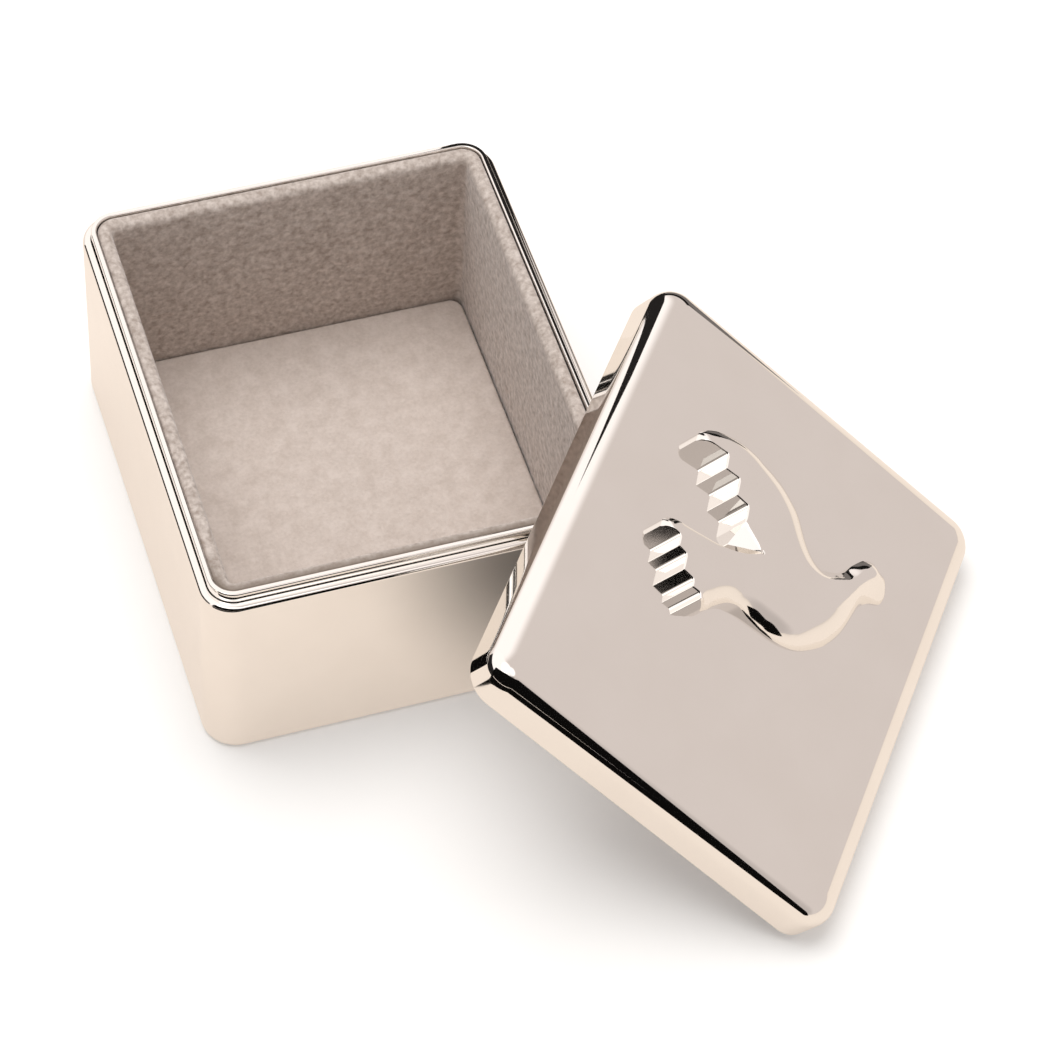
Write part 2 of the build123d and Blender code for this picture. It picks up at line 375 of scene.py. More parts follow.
def doveHeight(points, curve, domes, choppedLines, cut):
    # The cross-section is a circle's arc on an upright foot: it leaves the foot at a slope and
    # levels off: sin(angle) = sin(slope) - distance / radius, height = foot + radius (cos(angle)
    # - cos(slope)). Away from the edge, the distance is one with no crease midway between two
    # sides: (the outline's integral of 1 / r^5, over the 4 / 3 of a straight line at 1) ^ (-1 / 4).
    # The outline is the curve's two parts, up to the cut and after it.
    d = dove
    middle = (curve[:-1] + curve[1:]) / 2
    length = np.linalg.norm(np.diff(curve, axis=0), axis=1)
    length[cut] = 0
    gap = np.linalg.norm(points[:, None] - middle, axis=2)
    leastGap = 0.02        # keeps the pull finite on the outline itself
    pull = length / np.maximum(gap, leastGap) ** 5
    near = np.minimum(distanceTo(points, curve[:cut + 1]), distanceTo(points, curve[cut + 1:]))
    far = (pull.sum(axis=1) / (4 / 3)) ** -0.25
    share = np.clip((near - d["trueEdge"]) / d["trueFade"], 0, 1)
    share = share * share * (3 - 2 * share)
    inward = near * (1 - share) + far * share
    here = (pull @ ((domes[:-1] + domes[1:]) / 2)) / pull.sum(axis=1)[:, None]
    radius, slope, foot = here[:, 0], np.radians(here[:, 1]), here[:, 2]
    sine = np.maximum(np.sin(slope) - inward / radius, 0)
    height = np.minimum(foot + radius * (np.sqrt(1 - sine ** 2) - np.cos(slope)), d["ceiling"])
    # The feathers' cut ends are rounded by a quarter circle
    fromEnd = np.minimum(*[distanceTo(points, line) for line in choppedLines])
    endShare = np.clip(fromEnd / d["chop"], 0, 1)
    height = height - d["chop"] * (1 - np.sqrt(np.maximum(1 - (1 - endShare) ** 2, 0)))
    # The ramp falls away from its top edge; where it meets the top, the lower of the two is
    # taken, less (blend - difference)^2 / (4 blend) while they differ by under the blend
    place, faces, blend = np.array(d["rampTop"][:2]), np.array(d["rampFaces"]), d["rampBlend"]
    ramp = d["rampTop"][2] - (points - place) @ faces * np.tan(radians(d["rampSlope"]))
    low = (np.minimum(height, ramp)
           - np.maximum(blend - np.abs(height - ramp), 0) ** 2 / (4 * blend))
    start, end = choppedLines[1][0], np.array(d["wingFeathers"][1])
    onEdge = -1e-6         # the points on the wing's edge count as above it
    above = (points - start) @ np.array([end[1] - start[1], start[0] - end[0]]) > onEdge
    height = np.where(above & (points[:, 0] < place[0]), low, height)
    return np.maximum(height, d["leastHeight"])


def makeDove():
    # The outline, rings inside it and rows of points are joined by triangles and raised to the
    # dove's height; its side goes straight down to a flat back
    d = dove
    side, sideDomes = splineThrough(d["smoothSide"], d["spacing"])
    back, backDomes = splineThrough(d["tailBack"], d["spacing"])
    tail, wing = (polylineThrough(roundedFeathers(d[name]), d["spacing"])
                  for name in ("tailFeathers", "wingFeathers"))
    loop = np.concatenate([side[:-1], tail[:-1], back[:-1], wing[:-1]])
    closed = np.concatenate([loop, loop[:1]])
    ahead, behind = np.roll(loop, -1, axis=0), np.roll(loop, 1, axis=0)
    inward = (ahead - behind)[:, ::-1] * (1, -1)
    inward /= np.linalg.norm(inward, axis=1)[:, None]
    rings = [loop + inward * step for step in d["rings"]]
    rings = [ring[insideOf(ring, loop) & (distanceTo(ring, closed) > step * d["ringKeep"])]
             for ring, step in zip(rings, d["rings"])]
    low, high = loop.min(axis=0), loop.max(axis=0)
    columns = np.arange(low[0], high[0], d["spacing"])
    lines = np.arange(low[1], high[1], d["spacing"] * d["rowStep"])
    x, y = np.meshgrid(columns, lines)
    x[1::2] += d["spacing"] / 2
    inner = np.column_stack([x.ravel(), y.ravel()])
    inner = inner[insideOf(inner, loop)]
    inner = inner[distanceTo(inner, closed) > d["rings"][-1] + d["spacing"] * d["ringClear"]]
    rim = np.arange(len(loop))
    edges = np.column_stack([rim, np.roll(rim, -1)])
    flat = np.concatenate([loop] + rings + [inner])
    insideOnly, merged = 1, 1e-5    # which triangles to keep, and how near two points are one
    result = delaunay_2d_cdt([Vector(p) for p in flat.tolist()], edges.tolist(), [rim.tolist()],
                             insideOnly, merged)
    flat = np.array([tuple(p) for p in result[0]])
    triangles = np.array(result[2])
    top = doveHeight(flat, np.concatenate([side, back]), np.concatenate([sideDomes, backDomes]),
                     [tail, wing], len(side) - 1)
    count, size = len(flat), len(loop)
    below = np.maximum(top[:size] - d["guard"], top[:size] / 2)
    points = np.concatenate([np.column_stack([flat, top]), np.column_stack([flat, np.zeros(count)]),
                             np.column_stack([flat[:size], below])])
    points[:, 2] += cap["height"]
    rimAhead = np.roll(rim, -1)
    middle, middleAhead = rim + 2 * count, rimAhead + 2 * count
    faces = triangles.tolist() + (triangles[:, ::-1] + count).tolist()
    faces += np.column_stack([rim, middle, middleAhead, rimAhead]).tolist()
    faces += np.column_stack([middle, rim + count, rimAhead + count, middleAhead]).tolist()
    piece = meshPiece("lid_dove", points, faces, "lid", place=onLid)
    piece.data.set_sharp_from_angle(angle=radians(d["sharpAngle"]))
    return piece


wallLining = {
    "back": 2.12,          # inset of the side against the neck
    "card": 2.85,          # inset of the card's inner face
    "face": 3.75,          # inset of the velvet's face at the floor
    "lip": 4.15,           # and at the fold, where it is doubled
    "cardTop": 32.1,
    "cardGap": 0.05,       # how much lower the velvet starts at the card's face
    "top": 33.0,
    "backFold": 0.5,       # radius of the fold's far side, by the neck
    "foldDown": 1.4,       # how far the rounded fold reaches down the wall
    "foldRows": 12,
    "fullness": 2.7,       # 2 is an ellipse, more is squarer
    "cornerSteps": 8,
    "spacing": 0.3,
    "tuft": 0.32,          # width of a tuft
    "depth": 0.03,         # how far the tufts stand out
    "lump": 3.5,           # width of a lump
    "lumpDepth": 0.03,
    "most": 0.3,           # no tuft or lump is higher or deeper
    "seeds": (11, 12),
    # the profile's rows, and how much of the pile's relief each has: none behind, a little
    # round the fold, and all of it down the face
    "proudRows": ([3, 14, 24, 30], [0, 0.15, 0.15, 1]),
    "sink": 0.7,           # how much lower it lies at the front
    "sinkDown": 3,         # and how far below the card's top that fades out
    # where shade is painted on by the neck: the rows, and the places from front (-0.5) to back (0.5)
    "neckShadeRows": ([13, 19], [1, 0]),
    "neckShadePlaces": ([-0.45, -0.36], [1.0, 0.1]),
}


def makeWallLining():
    # The profile goes up the back, over the card, round the fold and down the face:
    # the fold is a quarter of a superellipse, flat on top and round at its edge:
    # inset = middle + a sin(t)^(2/n), height = top - b (1 - cos(t)^(2/n))
    w = wallLining
    bottom, curl = case["floor"], w["backFold"]
    middle = w["back"] + curl
    t = np.linspace(0, pi / 2, w["foldRows"])
    power = 2 / w["fullness"]
    fold = np.column_stack([middle + (w["lip"] - middle) * np.sin(t) ** power,
                            w["top"] - w["foldDown"] * (1 - np.maximum(np.cos(t), 0) ** power)])
    backFold = np.column_stack([middle - curl * np.cos(t), w["top"] - curl * (1 - np.sin(t))])[:-1]
    rows = int((fold[-1, 1] - bottom) / w["spacing"])
    down = np.linspace(fold[-1], (w["face"], bottom), rows + 1)[1:]
    behind = np.array([(w["card"], bottom), (w["card"], w["cardTop"] - w["cardGap"]),
                       (w["back"], w["cardTop"])])
    profile = np.concatenate([behind, backFold, fold, down])
    walk = outlineWalk(w["cornerSteps"], int(case["width"] / w["spacing"]),
                       int(case["depth"] / w["spacing"]))
    points = sweepRound(walk, case["width"], case["depth"], case["corner"], profile)
    shape, row = points.shape[:2], np.arange(len(profile))
    proud = (w["depth"] * pile(shape, w["spacing"], w["tuft"], w["seeds"][0])
             + w["lumpDepth"] * pile(shape, w["spacing"], w["lump"], w["seeds"][1]))
    proud = np.clip(proud, -w["most"], w["most"]) * np.interp(row, *w["proudRows"])
    across = np.gradient(profile, axis=0)
    across /= np.linalg.norm(across, axis=1)[:, None]
    points[:, :, :2] += (proud * across[:, 1])[:, :, None] * walk[1][:, None]
    points[:, :, 2] += proud * across[:, 0]
    # It was pushed further down at the front: sink, times the share of the height, times the
    # square of the share from the back (0) to the front (1)
    raised = np.clip((points[:, :, 2] - w["cardTop"] + w["sinkDown"]) / w["sinkDown"], 0, 1)
    place = points[:, :, 1] / case["depth"]
    points[:, :, 2] -= w["sink"] * raised * np.clip(0.5 - place, 0, 1) ** 2
    piece = gridPiece("velvet_wall_lining", points, "box", roundRows=True)
    # Painted shade where the velvet meets the neck, most at the front: the colour darkens there as if in the
    # neck's shadow
    paintedNeckShade = np.interp(row, *w["neckShadeRows"]) * np.interp(place, *w["neckShadePlaces"])
    piece.data.attributes.new("paintedNeckShade", "FLOAT", "POINT").data.foreach_set("value", paintedNeckShade.ravel())
    return piece


padPileMost = 0.25         # no tuft or lump of a pad is higher or deeper
padPileEdge = 0.5          # and towards its rim they fade out over this width


def padSurface(size, proud):
    # A square grid whose outer rows roll over the edge. Its corner squares are squeezed into
    # quarter circles: (x, y) becomes (x, y) max(x, y) / |(x, y)| about the corner centre. The
    # edge is a quarter circle too: drop = edge (1 - sqrt(1 - (1 - inward / edge)^2)).
    width, depth, corner, edge = (size[name] for name in ("width", "long", "corner", "edge"))
    columns, lines = int(width / size["spacing"]), int(depth / size["spacing"])
    i, j = np.meshgrid(np.arange(columns + 1), np.arange(lines + 1), indexing="ij")
    x = (i / columns - 0.5) * width
    y = (j / lines - 0.5) * depth
    over = np.stack([np.abs(x) - (width / 2 - corner), np.abs(y) - (depth / 2 - corner)])
    inCorner = (over > 0).all(axis=0)
    length = np.hypot(*over)
    squeeze = np.where(inCorner, over.max(axis=0) / np.maximum(length, 1e-9), 1.0)
    x = np.where(inCorner, np.sign(x) * (width / 2 - corner + over[0] * squeeze), x)
    y = np.where(inCorner, np.sign(y) * (depth / 2 - corner + over[1] * squeeze), y)
    inward = np.where(inCorner, corner - length * squeeze,
                      np.minimum(width / 2 - np.abs(x), depth / 2 - np.abs(y)))
    share = np.clip(inward / edge, 0, 1)
    drop = edge * (1 - np.sqrt(1 - (1 - share) ** 2))
    z = size["thickness"] - drop + proud * np.clip(inward / padPileEdge, 0, 1)
    return np.stack([x, y, z], axis=2)


def makePad(name, size, body, place, node):
    # The padded top, a straight side down from its rim, and a flat back
    s = size
    shape = (int(s["width"] / s["spacing"]) + 1, int(s["long"] / s["spacing"]) + 1)
    proud = (s["depth"] * pile(shape, s["spacing"], s["tuft"], s["seed"])
             + s["lumpDepth"] * pile(shape, s["spacing"], s["lump"], s["seed"] + 1))
    top = padSurface(s, np.clip(proud, -padPileMost, padPileMost))
    columns, lines = top.shape[:2]
    index = np.arange(columns * lines).reshape(columns, lines)
    quads = np.stack([index[:-1, :-1], index[1:, :-1], index[1:, 1:], index[:-1, 1:]], axis=2).reshape(-1, 4)
    rim = np.concatenate([index[:-1, 0], index[-1, :-1], index[:0:-1, -1], index[0, :0:-1]])
    points = top.reshape(-1, 3)
    low = points[rim] * (1, 1, 0)
    below = len(points) + np.arange(len(rim))
    centre = len(points) + len(rim)
    points = np.concatenate([points, low, low.mean(axis=0)[None]])
    ahead, belowAhead = np.roll(rim, -1), np.roll(below, -1)
    side = np.column_stack([below, belowAhead, ahead, rim])
    back = np.column_stack([belowAhead, below, np.full(len(rim), centre)])
    piece = meshPiece(name, points, quads.tolist() + side.tolist() + back.tolist(), body, place)
    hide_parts(node)
    return piece


# each pad: its size, the radius of its corners and of its edge, the spacing of its points, the
# width and height of its tufts and lumps, their seed, and how high its back lies
floorPad = {"width": 52.1, "long": 63.6, "corner": 2.0, "thickness": 0.7, "edge": 0.5, "spacing": 0.22,
            "tuft": 0.3, "depth": 0.025, "lump": 5.0, "lumpDepth": 0.04, "seed": 21, "level": 1.9}
lidPad = {"width": 55.0, "long": 66.5, "corner": 3.0, "thickness": 1.4, "edge": 0.9, "spacing": 0.26,
          "tuft": 0.3, "depth": 0.025, "lump": 5.0, "lumpDepth": 0.04, "seed": 31, "level": 5.9}
baseFelt = {"width": 53.7, "long": 65.2, "corner": 2.35, "thickness": 0.58, "edge": 0.15, "spacing": 0.6,
            "tuft": 0.5, "depth": 0.006, "lump": 3.0, "lumpDepth": 0.004, "seed": 41, "level": 0.6}


def placed(level, flip=False):
    # At its height, facing up, or down with flip
    turn = Matrix.Rotation(pi, 4, "X") if flip else Matrix.Identity(4)
    return Matrix.Translation((0, 0, level * mm)) @ turn


print("scene: metal")
boxCase, boxNeck, lidCap, lidDove = makeCase(), makeNeck(), makeCap(), makeDove()
for piece, node in ((boxCase, "body_shell"), (boxNeck, "neck_frame"), (lidCap, "lid_shell"),
                    (lidDove, "dove_relief")):
    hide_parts(node)

print("scene: linings")
wallVelvet = makeWallLining()
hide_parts("wall_velvet")
floorVelvet = makePad("velvet_floor_pad", floorPad, "box", placed(floorPad["level"]), "floor_velvet")
lidVelvet = makePad("velvet_lid_pad", lidPad, "lid", onLid @ placed(lidPad["level"], True), "lid_velvet")
feltPiece = makePad("felt_base", baseFelt, "box", placed(baseFelt["level"], True), "base_felt")


def linear(code):
    # An sRGB hex colour as linear red, green and blue
    c = np.array([int(code[k:k + 2], 16) / 255 for k in (1, 3, 5)])
    return tuple(np.where(c <= 0.04045, c / 12.92, ((c + 0.055) / 1.055) ** 2.4)) + (1.0,)


def addNode(tree, kind, inputs=None, **settings):
    # A node with its settings; each input is a value or the socket that feeds it
    node = tree.nodes.new(kind)
    for name, value in settings.items():
        setattr(node, name, value)
    for name, value in (inputs or {}).items():
        if isinstance(value, bpy.types.NodeSocket):
            tree.links.new(value, node.inputs[name])
        else:
            node.inputs[name].default_value = value
    return node


def newMaterial(name):
    # An empty material, and the Object coordinates that its patterns read
    material = bpy.data.materials.new(name)
    material.use_nodes = True
    tree = material.node_tree
    tree.nodes.clear()
    place = addNode(tree, "ShaderNodeTexCoord").outputs["Object"]
    return material, tree, place


def perMetre(sizeMm):
    return 1000 / sizeMm    # a noise's scale for features of that size


silver = {
    "colour": "#F7F5F2",
    "shade": "#F1EEEA",    # where the haze lies
    "roughness": (0.035, 0.07),
    "haze": 9.0,           # mm, the size of a patch of haze
    "pressedPeel": 8.8,    # mm, the slight waviness of pressed and plated sheet
    "castPeel": 2.2,       # mm, and of the cast dove
    "peelDepth": 0.0006,   # mm
}


def silverPlate(name, peel):
    # Polished silver plate, a mirror with a warm white: bright, with a faint waviness and thin haze
    material, tree, place = newMaterial(name)
    haze = addNode(tree, "ShaderNodeTexNoise", {"Vector": place, "Scale": perMetre(silver["haze"]),
                                                "Detail": 4.0})
    tint = addNode(tree, "ShaderNodeMix", {"Factor": haze.outputs["Fac"], "A": linear(silver["colour"]),
                                           "B": linear(silver["shade"])}, data_type="RGBA")
    rough = addNode(tree, "ShaderNodeMapRange", {"Value": haze.outputs["Fac"],
                                                 "To Min": silver["roughness"][0],
                                                 "To Max": silver["roughness"][1]})
    waves = addNode(tree, "ShaderNodeTexNoise", {"Vector": place, "Scale": perMetre(peel), "Detail": 1.0})
    bump = addNode(tree, "ShaderNodeBump", {"Height": waves.outputs["Fac"], "Strength": 1.0,
                                            "Distance": silver["peelDepth"] * mm})
    shader = addNode(tree, "ShaderNodeBsdfPrincipled", {
        "Base Color": tint.outputs["Result"], "Metallic": 1.0, "Roughness": rough.outputs["Result"],
        "Normal": bump.outputs["Normal"]})
    addNode(tree, "ShaderNodeOutputMaterial", {"Surface": shader.outputs["BSDF"]})
    return material


# each velvet: pale tips, darker roots, the painted shade by the neck, and in mm the width of a
# clump, the width of the finest pattern in it and the depth of its bump
wallPile = {"tips": "#D5C8BF", "roots": "#A6978D", "paintedNeckShade": "#7C6F64", "clump": 1.0,
            "fine": 0.64, "bump": 0.12, "sheen": 0.35}
padPile = {"tips": "#DACDC4", "roots": "#C9BBB1", "paintedNeckShade": "#7C6F64", "clump": 2.6,
           "fine": 0.48, "bump": 0.12, "sheen": 0.35}


def pileVelvet(name, look):
    # Short cut pile: matt, with pale tips, darker roots where the clumps part, painted shade where the mesh
    # marks the neck's shadow, and a soft sheen
    material, tree, place = newMaterial(name)
    tufts = addNode(tree, "ShaderNodeTexNoise", {"Vector": place, "Scale": perMetre(look["fine"]),
                                                 "Detail": 3.0, "Roughness": 0.6})
    clumps = addNode(tree, "ShaderNodeTexNoise", {"Vector": place, "Scale": perMetre(look["clump"]),
                                                  "Detail": 2.0})
    both = addNode(tree, "ShaderNodeMath", {0: tufts.outputs["Fac"], 1: clumps.outputs["Fac"]},
                   operation="ADD")
    # two noises added lie mostly between 0.72 and 1.28
    spread = addNode(tree, "ShaderNodeMapRange", {"Value": both.outputs[0], "From Min": 0.72,
                                                  "From Max": 1.28})
    tips = addNode(tree, "ShaderNodeMix", {"Factor": spread.outputs["Result"], "A": linear(look["roots"]),
                                           "B": linear(look["tips"])}, data_type="RGBA")
    # painted shade: the colour turns to the shade colour where the mesh's attribute is set, by the neck
    paintedNeckShade = addNode(tree, "ShaderNodeAttribute", attribute_name="paintedNeckShade")
    tint = addNode(tree, "ShaderNodeMix", {"Factor": paintedNeckShade.outputs["Fac"], "A": tips.outputs["Result"],
                                           "B": linear(look["paintedNeckShade"])}, data_type="RGBA")
    bump = addNode(tree, "ShaderNodeBump", {"Height": both.outputs[0], "Strength": 0.6,
                                            "Distance": look["bump"] * mm})
    shader = addNode(tree, "ShaderNodeBsdfPrincipled", {
        "Base Color": tint.outputs["Result"], "Roughness": 0.95, "Sheen Weight": look["sheen"],
        "Sheen Roughness": 0.45, "Specular IOR Level": 0.15, "Normal": bump.outputs["Normal"]})
    addNode(tree, "ShaderNodeOutputMaterial", {"Surface": shader.outputs["BSDF"]})
    return material


# fibre and bump in mm; one fibre is too fine to show, so the pattern is as wide as a few of them
felt = {"deep": "#5A504A", "pale": "#7A6E66", "fibre": 0.7, "bump": 0.1}


def woolFelt(name):
    # Pressed wool felt: matted fibres, darker and flatter than velvet
    material, tree, place = newMaterial(name)
    fibres = addNode(tree, "ShaderNodeTexNoise", {"Vector": place, "Scale": perMetre(felt["fibre"]),
                                                  "Detail": 6.0, "Distortion": 2.0})
    tint = addNode(tree, "ShaderNodeMix", {"Factor": fibres.outputs["Fac"], "A": linear(felt["deep"]),
                                           "B": linear(felt["pale"])}, data_type="RGBA")
    bump = addNode(tree, "ShaderNodeBump", {"Height": fibres.outputs["Fac"], "Strength": 0.7,
                                            "Distance": felt["bump"] * mm})
    shader = addNode(tree, "ShaderNodeBsdfPrincipled", {
        "Base Color": tint.outputs["Result"], "Roughness": 1.0, "Sheen Weight": 0.2,
        "Specular IOR Level": 0.1, "Normal": bump.outputs["Normal"]})
    addNode(tree, "ShaderNodeOutputMaterial", {"Surface": shader.outputs["BSDF"]})
    return material


pulpBoard = {"deep": "#A39B90", "pale": "#BDB5A9", "speck": 0.9}       # the last in mm


def greyBoard(name):
    # Grey board rolled from waste paper: a flat, speckled pulp
    material, tree, place = newMaterial(name)
    pulp = addNode(tree, "ShaderNodeTexNoise", {"Vector": place, "Scale": perMetre(pulpBoard["speck"]),
                                                "Detail": 5.0})
    tint = addNode(tree, "ShaderNodeMix", {"Factor": pulp.outputs["Fac"], "A": linear(pulpBoard["deep"]),
                                           "B": linear(pulpBoard["pale"])}, data_type="RGBA")
    shader = addNode(tree, "ShaderNodeBsdfPrincipled", {
        "Base Color": tint.outputs["Result"], "Roughness": 0.9, "Specular IOR Level": 0.3})
    addNode(tree, "ShaderNodeOutputMaterial", {"Surface": shader.outputs["BSDF"]})
    return material


def dress(piece, material):
    piece.data.materials.clear()
    piece.data.materials.append(material)


print("scene: materials")
pressedPlate = silverPlate("silver_plate_pressed", silver["pressedPeel"])
castPlate = silverPlate("silver_plate_cast", silver["castPeel"])
for piece in (boxCase, boxNeck, lidCap):
    dress(piece, pressedPlate)
dress(lidDove, castPlate)
dress(wallVelvet, pileVelvet("velvet_cut_pile_walls", wallPile))
padVelvet = pileVelvet("velvet_cut_pile_pads", padPile)
for piece in (floorVelvet, lidVelvet):
    dress(piece, padVelvet)
dress(feltPiece, woolFelt("felt_pressed_wool"))
board = greyBoard("grey_board")
for name in ("wall_card", "floor_board", "lid_board"):
    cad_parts[name].material_slots[0].material = board

stage = {
    "floorHalf": 3.0,      # m
    "floor": "#F4F1EE",
    "floorTint": (0.96, 0.851, 0.758),      # times that where the metal mirrors it, so warmer
    "floorGlow": 0.15,     # glow that the camera sees on the lit paper, so that the floor is white
    "mirroredGlow": 0.53,  # glow that the metal sees on it
    "mirroredPaper": 0.49,          # and the share of the lit paper that it sees
    # a painted shadow where the lid overhangs, which only the metal sees on the floor: the place in mm,
    # how far from it the floor is darkest and where that ends, and how much is taken away
    "shadowUnderLid": ((24.0, -55.0), (2.0, 28.0), -0.78),
    "fill": 0.57,          # what the sky gives to matt surfaces
    "sky": 0.76,           # what the metal mirrors of it
    "skyTint": (0.952, 0.846, 0.795),
    # patches of sky that the metal mirrors: the direction (azimuth, elevation), the radius where
    # each ends and where it is full, all in degrees, and how much it adds
    "brightBehind": ((-165.0, 45.0), (53.0, 27.0), 0.46),
    "brightLeft": ((-102.0, 38.0), (54.0, 36.0), 0.48),
    "brightFront": ((0.0, 57.0), (16.0, 9.0), 0.8),
    "brightTop": ((-38.0, 60.0), (25.0, 16.0), 0.8),
    "dimFront": ((0.0, 18.0), (30.0, 8.0), -0.18),
    "dimNear": ((-14.0, 44.0), (18.0, 8.0), -0.4),
}


def towards(azimuth, elevation):
    # A direction: azimuth 0 is the front, 90 the right
    a, e = radians(azimuth), radians(elevation)
    return (sin(a) * cos(e), -cos(a) * cos(e), sin(e))


def makeFloor():
    # Pale paper. The camera sees it a little brighter than it is lit, and the metal sees it
    # warmer: lit paper (share) plus glow, both times the tint and the painted shadow under the lid
    half = stage["floorHalf"]
    corners = [(-half, -half, 0), (half, -half, 0), (half, half, 0), (-half, half, 0)]
    mesh = bpy.data.meshes.new("floor")
    mesh.from_pydata(corners, [], [(0, 1, 2, 3)])
    floor = bpy.data.objects.new("floor", mesh)
    bpy.context.scene.collection.objects.link(floor)
    material, tree, place = newMaterial("pale_paper")
    rays = addNode(tree, "ShaderNodeLightPath")
    glossy, direct = rays.outputs["Is Glossy Ray"], rays.outputs["Is Camera Ray"]
    # painted shadow: for the metal, the floor is darkened round this spot under the lid
    spot, reach, level = stage["shadowUnderLid"]
    away = addNode(tree, "ShaderNodeVectorMath", {0: place, 1: (spot[0] * mm, spot[1] * mm, 0)},
                   operation="DISTANCE")
    dim = addNode(tree, "ShaderNodeMapRange", {
        "Value": away.outputs["Value"], "From Min": reach[0] * mm, "From Max": reach[1] * mm,
        "To Min": level, "To Max": 0.0}, interpolation_type="SMOOTHSTEP")
    shade = addNode(tree, "ShaderNodeMath", {0: dim.outputs["Result"], 1: glossy, 2: 1.0},
                    operation="MULTIPLY_ADD")
    tone = addNode(tree, "ShaderNodeMix", {"Factor": glossy, "A": (1, 1, 1, 1),
                                           "B": stage["floorTint"] + (1,)}, data_type="RGBA")
    shaded = addNode(tree, "ShaderNodeVectorMath", {0: tone.outputs["Result"], 3: shade.outputs[0]},
                     operation="SCALE")
    share = addNode(tree, "ShaderNodeMath", {0: glossy, 1: stage["mirroredPaper"] - 1, 2: 1.0},
                    operation="MULTIPLY_ADD")
    lit = addNode(tree, "ShaderNodeVectorMath", {0: shaded.outputs[0], 3: share.outputs[0]},
                  operation="SCALE")
    paper = addNode(tree, "ShaderNodeVectorMath", {0: linear(stage["floor"])[:3], 1: lit.outputs[0]},
                    operation="MULTIPLY")
    seen = addNode(tree, "ShaderNodeMath", {0: direct, 1: stage["floorGlow"]}, operation="MULTIPLY")
    glow = addNode(tree, "ShaderNodeMath", {0: glossy, 1: stage["mirroredGlow"], 2: seen.outputs[0]},
                   operation="MULTIPLY_ADD")
    matt = addNode(tree, "ShaderNodeBsdfDiffuse", {"Color": paper.outputs[0]})
    light = addNode(tree, "ShaderNodeEmission", {"Color": shaded.outputs[0], "Strength": glow.outputs[0]})
    both = addNode(tree, "ShaderNodeAddShader", {0: matt.outputs[0], 1: light.outputs[0]})
    addNode(tree, "ShaderNodeOutputMaterial", {"Surface": both.outputs[0]})
    dress(floor, material)


def standCard(name, feet, low, high, level):
    # A plain card that only the metal mirrors. It stands over the points at its feet; low and
    # high are one height or one for each point.
    count = len(feet)
    points = np.concatenate([np.column_stack([feet, np.broadcast_to(low, count)]),
                             np.column_stack([feet, np.broadcast_to(high, count)])])
    left = np.arange(count - 1)
    faces = np.column_stack([left, left + 1, left + 1 + count, left + count]).tolist()
    mesh = bpy.data.meshes.new(name)
    mesh.from_pydata((points * mm).tolist(), [], faces)
    card = bpy.data.objects.new(name, mesh)
    bpy.context.scene.collection.objects.link(card)
    material, tree = newMaterial(name)[:2]
    glow = addNode(tree, "ShaderNodeEmission", {"Color": stage["skyTint"] + (1,), "Strength": level})
    addNode(tree, "ShaderNodeOutputMaterial", {"Surface": glow.outputs["Emission"]})
    dress(card, material)
    card.visible_camera = card.visible_diffuse = card.visible_shadow = False
    card.visible_transmission = card.visible_volume_scatter = False


def makeWorld():
    # White to the camera and an even fill to matt surfaces. The metal mirrors a tinted sky,
    # sky + the dim patches, plus the bright patches; of two that overlap the brighter one counts
    w = stage
    world = bpy.data.worlds.new("studio")
    bpy.context.scene.world = world
    world.use_nodes = True
    tree = world.node_tree
    tree.nodes.clear()
    way = addNode(tree, "ShaderNodeTexCoord").outputs["Generated"]

    def patch(at, edge, level):
        facing = addNode(tree, "ShaderNodeVectorMath", {0: way, 1: towards(*at)}, operation="DOT_PRODUCT")
        return addNode(tree, "ShaderNodeMapRange", {
            "Value": facing.outputs["Value"], "To Min": 0.0, "To Max": level,
            "From Min": cos(radians(edge[0])), "From Max": cos(radians(edge[1]))},
            interpolation_type="SMOOTHSTEP").outputs["Result"]

    bright = addNode(tree, "ShaderNodeMath", {0: patch(*w["brightBehind"]), 1: patch(*w["brightLeft"])},
                     operation="MAXIMUM")
    dim = addNode(tree, "ShaderNodeMath", {0: patch(*w["dimFront"]), 1: patch(*w["dimNear"])},
                  operation="ADD")
    front = addNode(tree, "ShaderNodeMath", {0: patch(*w["brightFront"]), 1: patch(*w["brightTop"])},
                    operation="MAXIMUM")
    white = addNode(tree, "ShaderNodeMath", {0: bright.outputs[0], 1: front.outputs[0]}, operation="ADD")
    sky = addNode(tree, "ShaderNodeMath", {0: dim.outputs[0], 1: w["sky"]}, operation="ADD")
    warm = addNode(tree, "ShaderNodeVectorMath", {0: sky.outputs[0], 1: w["skyTint"]}, operation="MULTIPLY")
    tinted = addNode(tree, "ShaderNodeVectorMath", {0: warm.outputs[0], 1: white.outputs[0]},
                     operation="ADD")
    rays = addNode(tree, "ShaderNodeLightPath")
    fill = addNode(tree, "ShaderNodeMix", {
        "Factor": rays.outputs["Is Glossy Ray"], "A": (w["fill"],) * 3 + (1,), "B": tinted.outputs[0]},
        data_type="RGBA")
    seen = addNode(tree, "ShaderNodeMix", {
        "Factor": rays.outputs["Is Camera Ray"], "A": fill.outputs["Result"], "B": (1, 1, 1, 1)},
        data_type="RGBA")
    glow = addNode(tree, "ShaderNodeBackground", {"Color": seen.outputs["Result"], "Strength": 1.0})
    addNode(tree, "ShaderNodeOutputWorld", {"Surface": glow.outputs["Background"]})


softbox = {
    "place": (-0.05, 0.11, 0.7),    # m
    "aim": (0, 0, 0),
    "size": (0.6, 0.6),    # m
    "power": 3.75,         # W
}

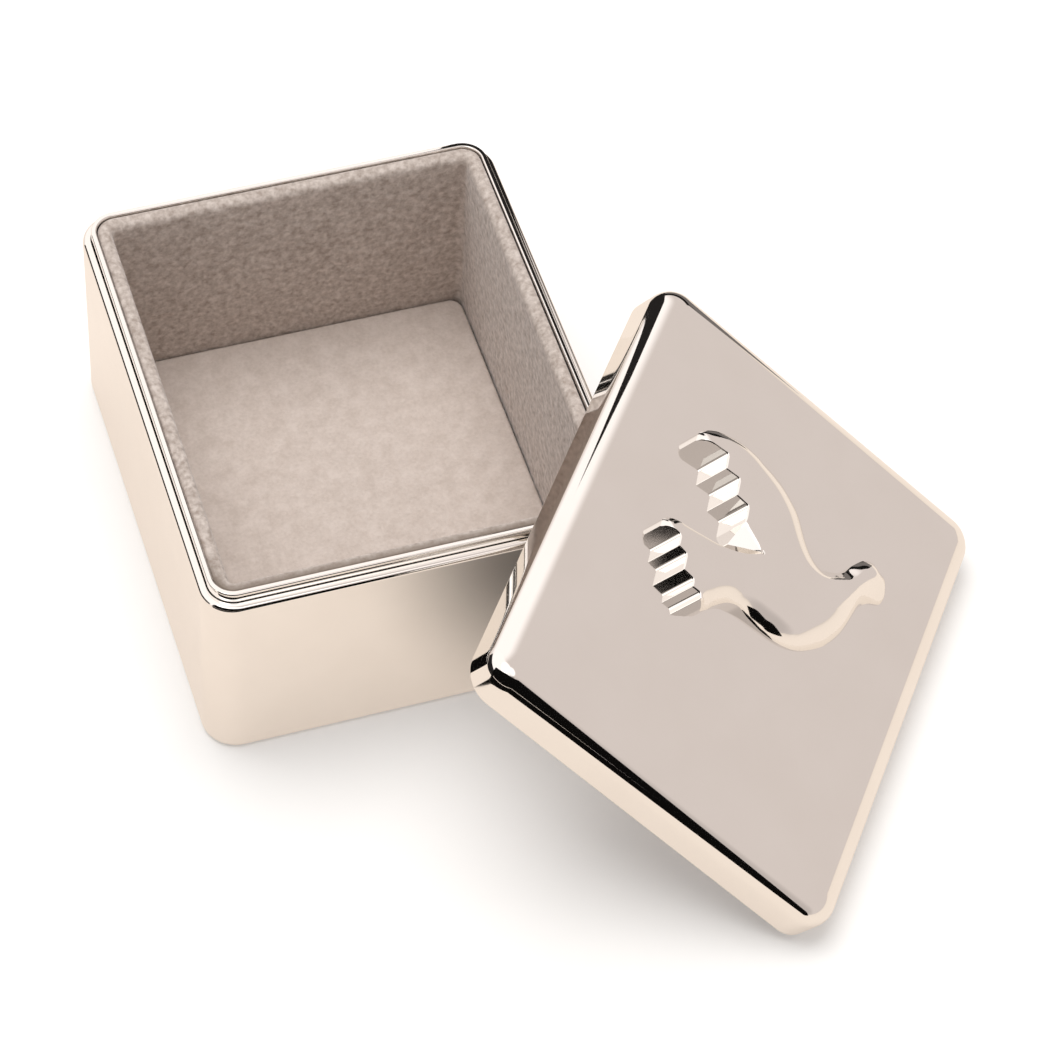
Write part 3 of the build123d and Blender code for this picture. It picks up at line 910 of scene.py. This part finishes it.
# cards for the metal to mirror: the points at their feet and their lower and upper edges in mm,
# and how bright they are
cards = {
    "card_front_low": ([(-80, -50), (-30, -105), (10, -155), (46, -184)], 0, 28, 0.004),
    "card_front_high": ([(-80, -50), (-30, -105), (10, -155), (46, -184)],
                        (30, 30, 28, 28), (80, 100, 110, 110), 0.004),
    "card_left_low": ([(-190, -60), (-171, 40), (-160, 90), (-150, 150)],
                      0, (75, 80, 85, 85), 0.02),
    "card_back_grey": ([(80, 140), (125, 90), (155, 52)], 0, (42, 40, 38), 0.2),
    "card_back_low": ([(56, 152), (80, 140), (125, 90), (155, 52)],
                      (0, 42, 40, 38), (85, 78, 66, 58), 0.01),
    "card_back_tall": ([(27, 46), (58, 46)], 25, 118, 0.02),
}


def makeSoftbox():
    # A square lamp above, which the metal doesn't mirror
    place = softbox["place"]
    data = bpy.data.lights.new("softbox_above", "AREA")
    data.shape = "RECTANGLE"
    data.size, data.size_y = softbox["size"]
    data.energy = softbox["power"]
    lamp = bpy.data.objects.new("softbox_above", data)
    bpy.context.scene.collection.objects.link(lamp)
    back = (Vector(place) - Vector(softbox["aim"])).normalized()
    lamp.matrix_world = Matrix.Translation(place) @ back.to_track_quat("Z", "Y").to_matrix().to_4x4()
    lamp.visible_glossy = False


print("scene: stage and light")
makeFloor()
makeWorld()
makeSoftbox()
for name, card in cards.items():
    standCard(name, *card)

camera = {
    "azimuth": -21.314,    # degrees, as are the next two
    "elevation": 52.168,
    "roll": 4.505,
    "distance": 539.449,   # mm, as are the next three
    "aimRight": 23.856,    # how far right of the box's middle it aims
    "aimUp": -14.5854,     # and how far up in the frame
    "aimHeight": 20.0,
    "focalPixels": 3891.52,
    "imagePixels": 1048,
}


def makeCamera():
    c = camera
    r = radians(c["roll"])
    back = Vector(towards(c["azimuth"], c["elevation"]))
    level = (-back).cross(Vector((0, 0, 1))).normalized()
    upright = level.cross(-back)
    right = level * cos(r) + upright * sin(r)
    up = upright * cos(r) - level * sin(r)
    aim = Vector((0, 0, c["aimHeight"])) + right * c["aimRight"] + up * c["aimUp"]
    data = bpy.data.cameras.new("camera")
    data.lens = c["focalPixels"] / c["imagePixels"] * data.sensor_width
    data.clip_start, data.clip_end = 0.01, 10
    viewer = bpy.data.objects.new("camera", data)
    bpy.context.scene.collection.objects.link(viewer)
    turn = Matrix((right, up, back)).transposed().to_4x4()
    viewer.matrix_world = Matrix.Translation((aim + back * c["distance"]) * mm) @ turn
    bpy.context.scene.camera = viewer


makeCamera()
bpy.context.scene.view_settings.view_transform = "Standard"
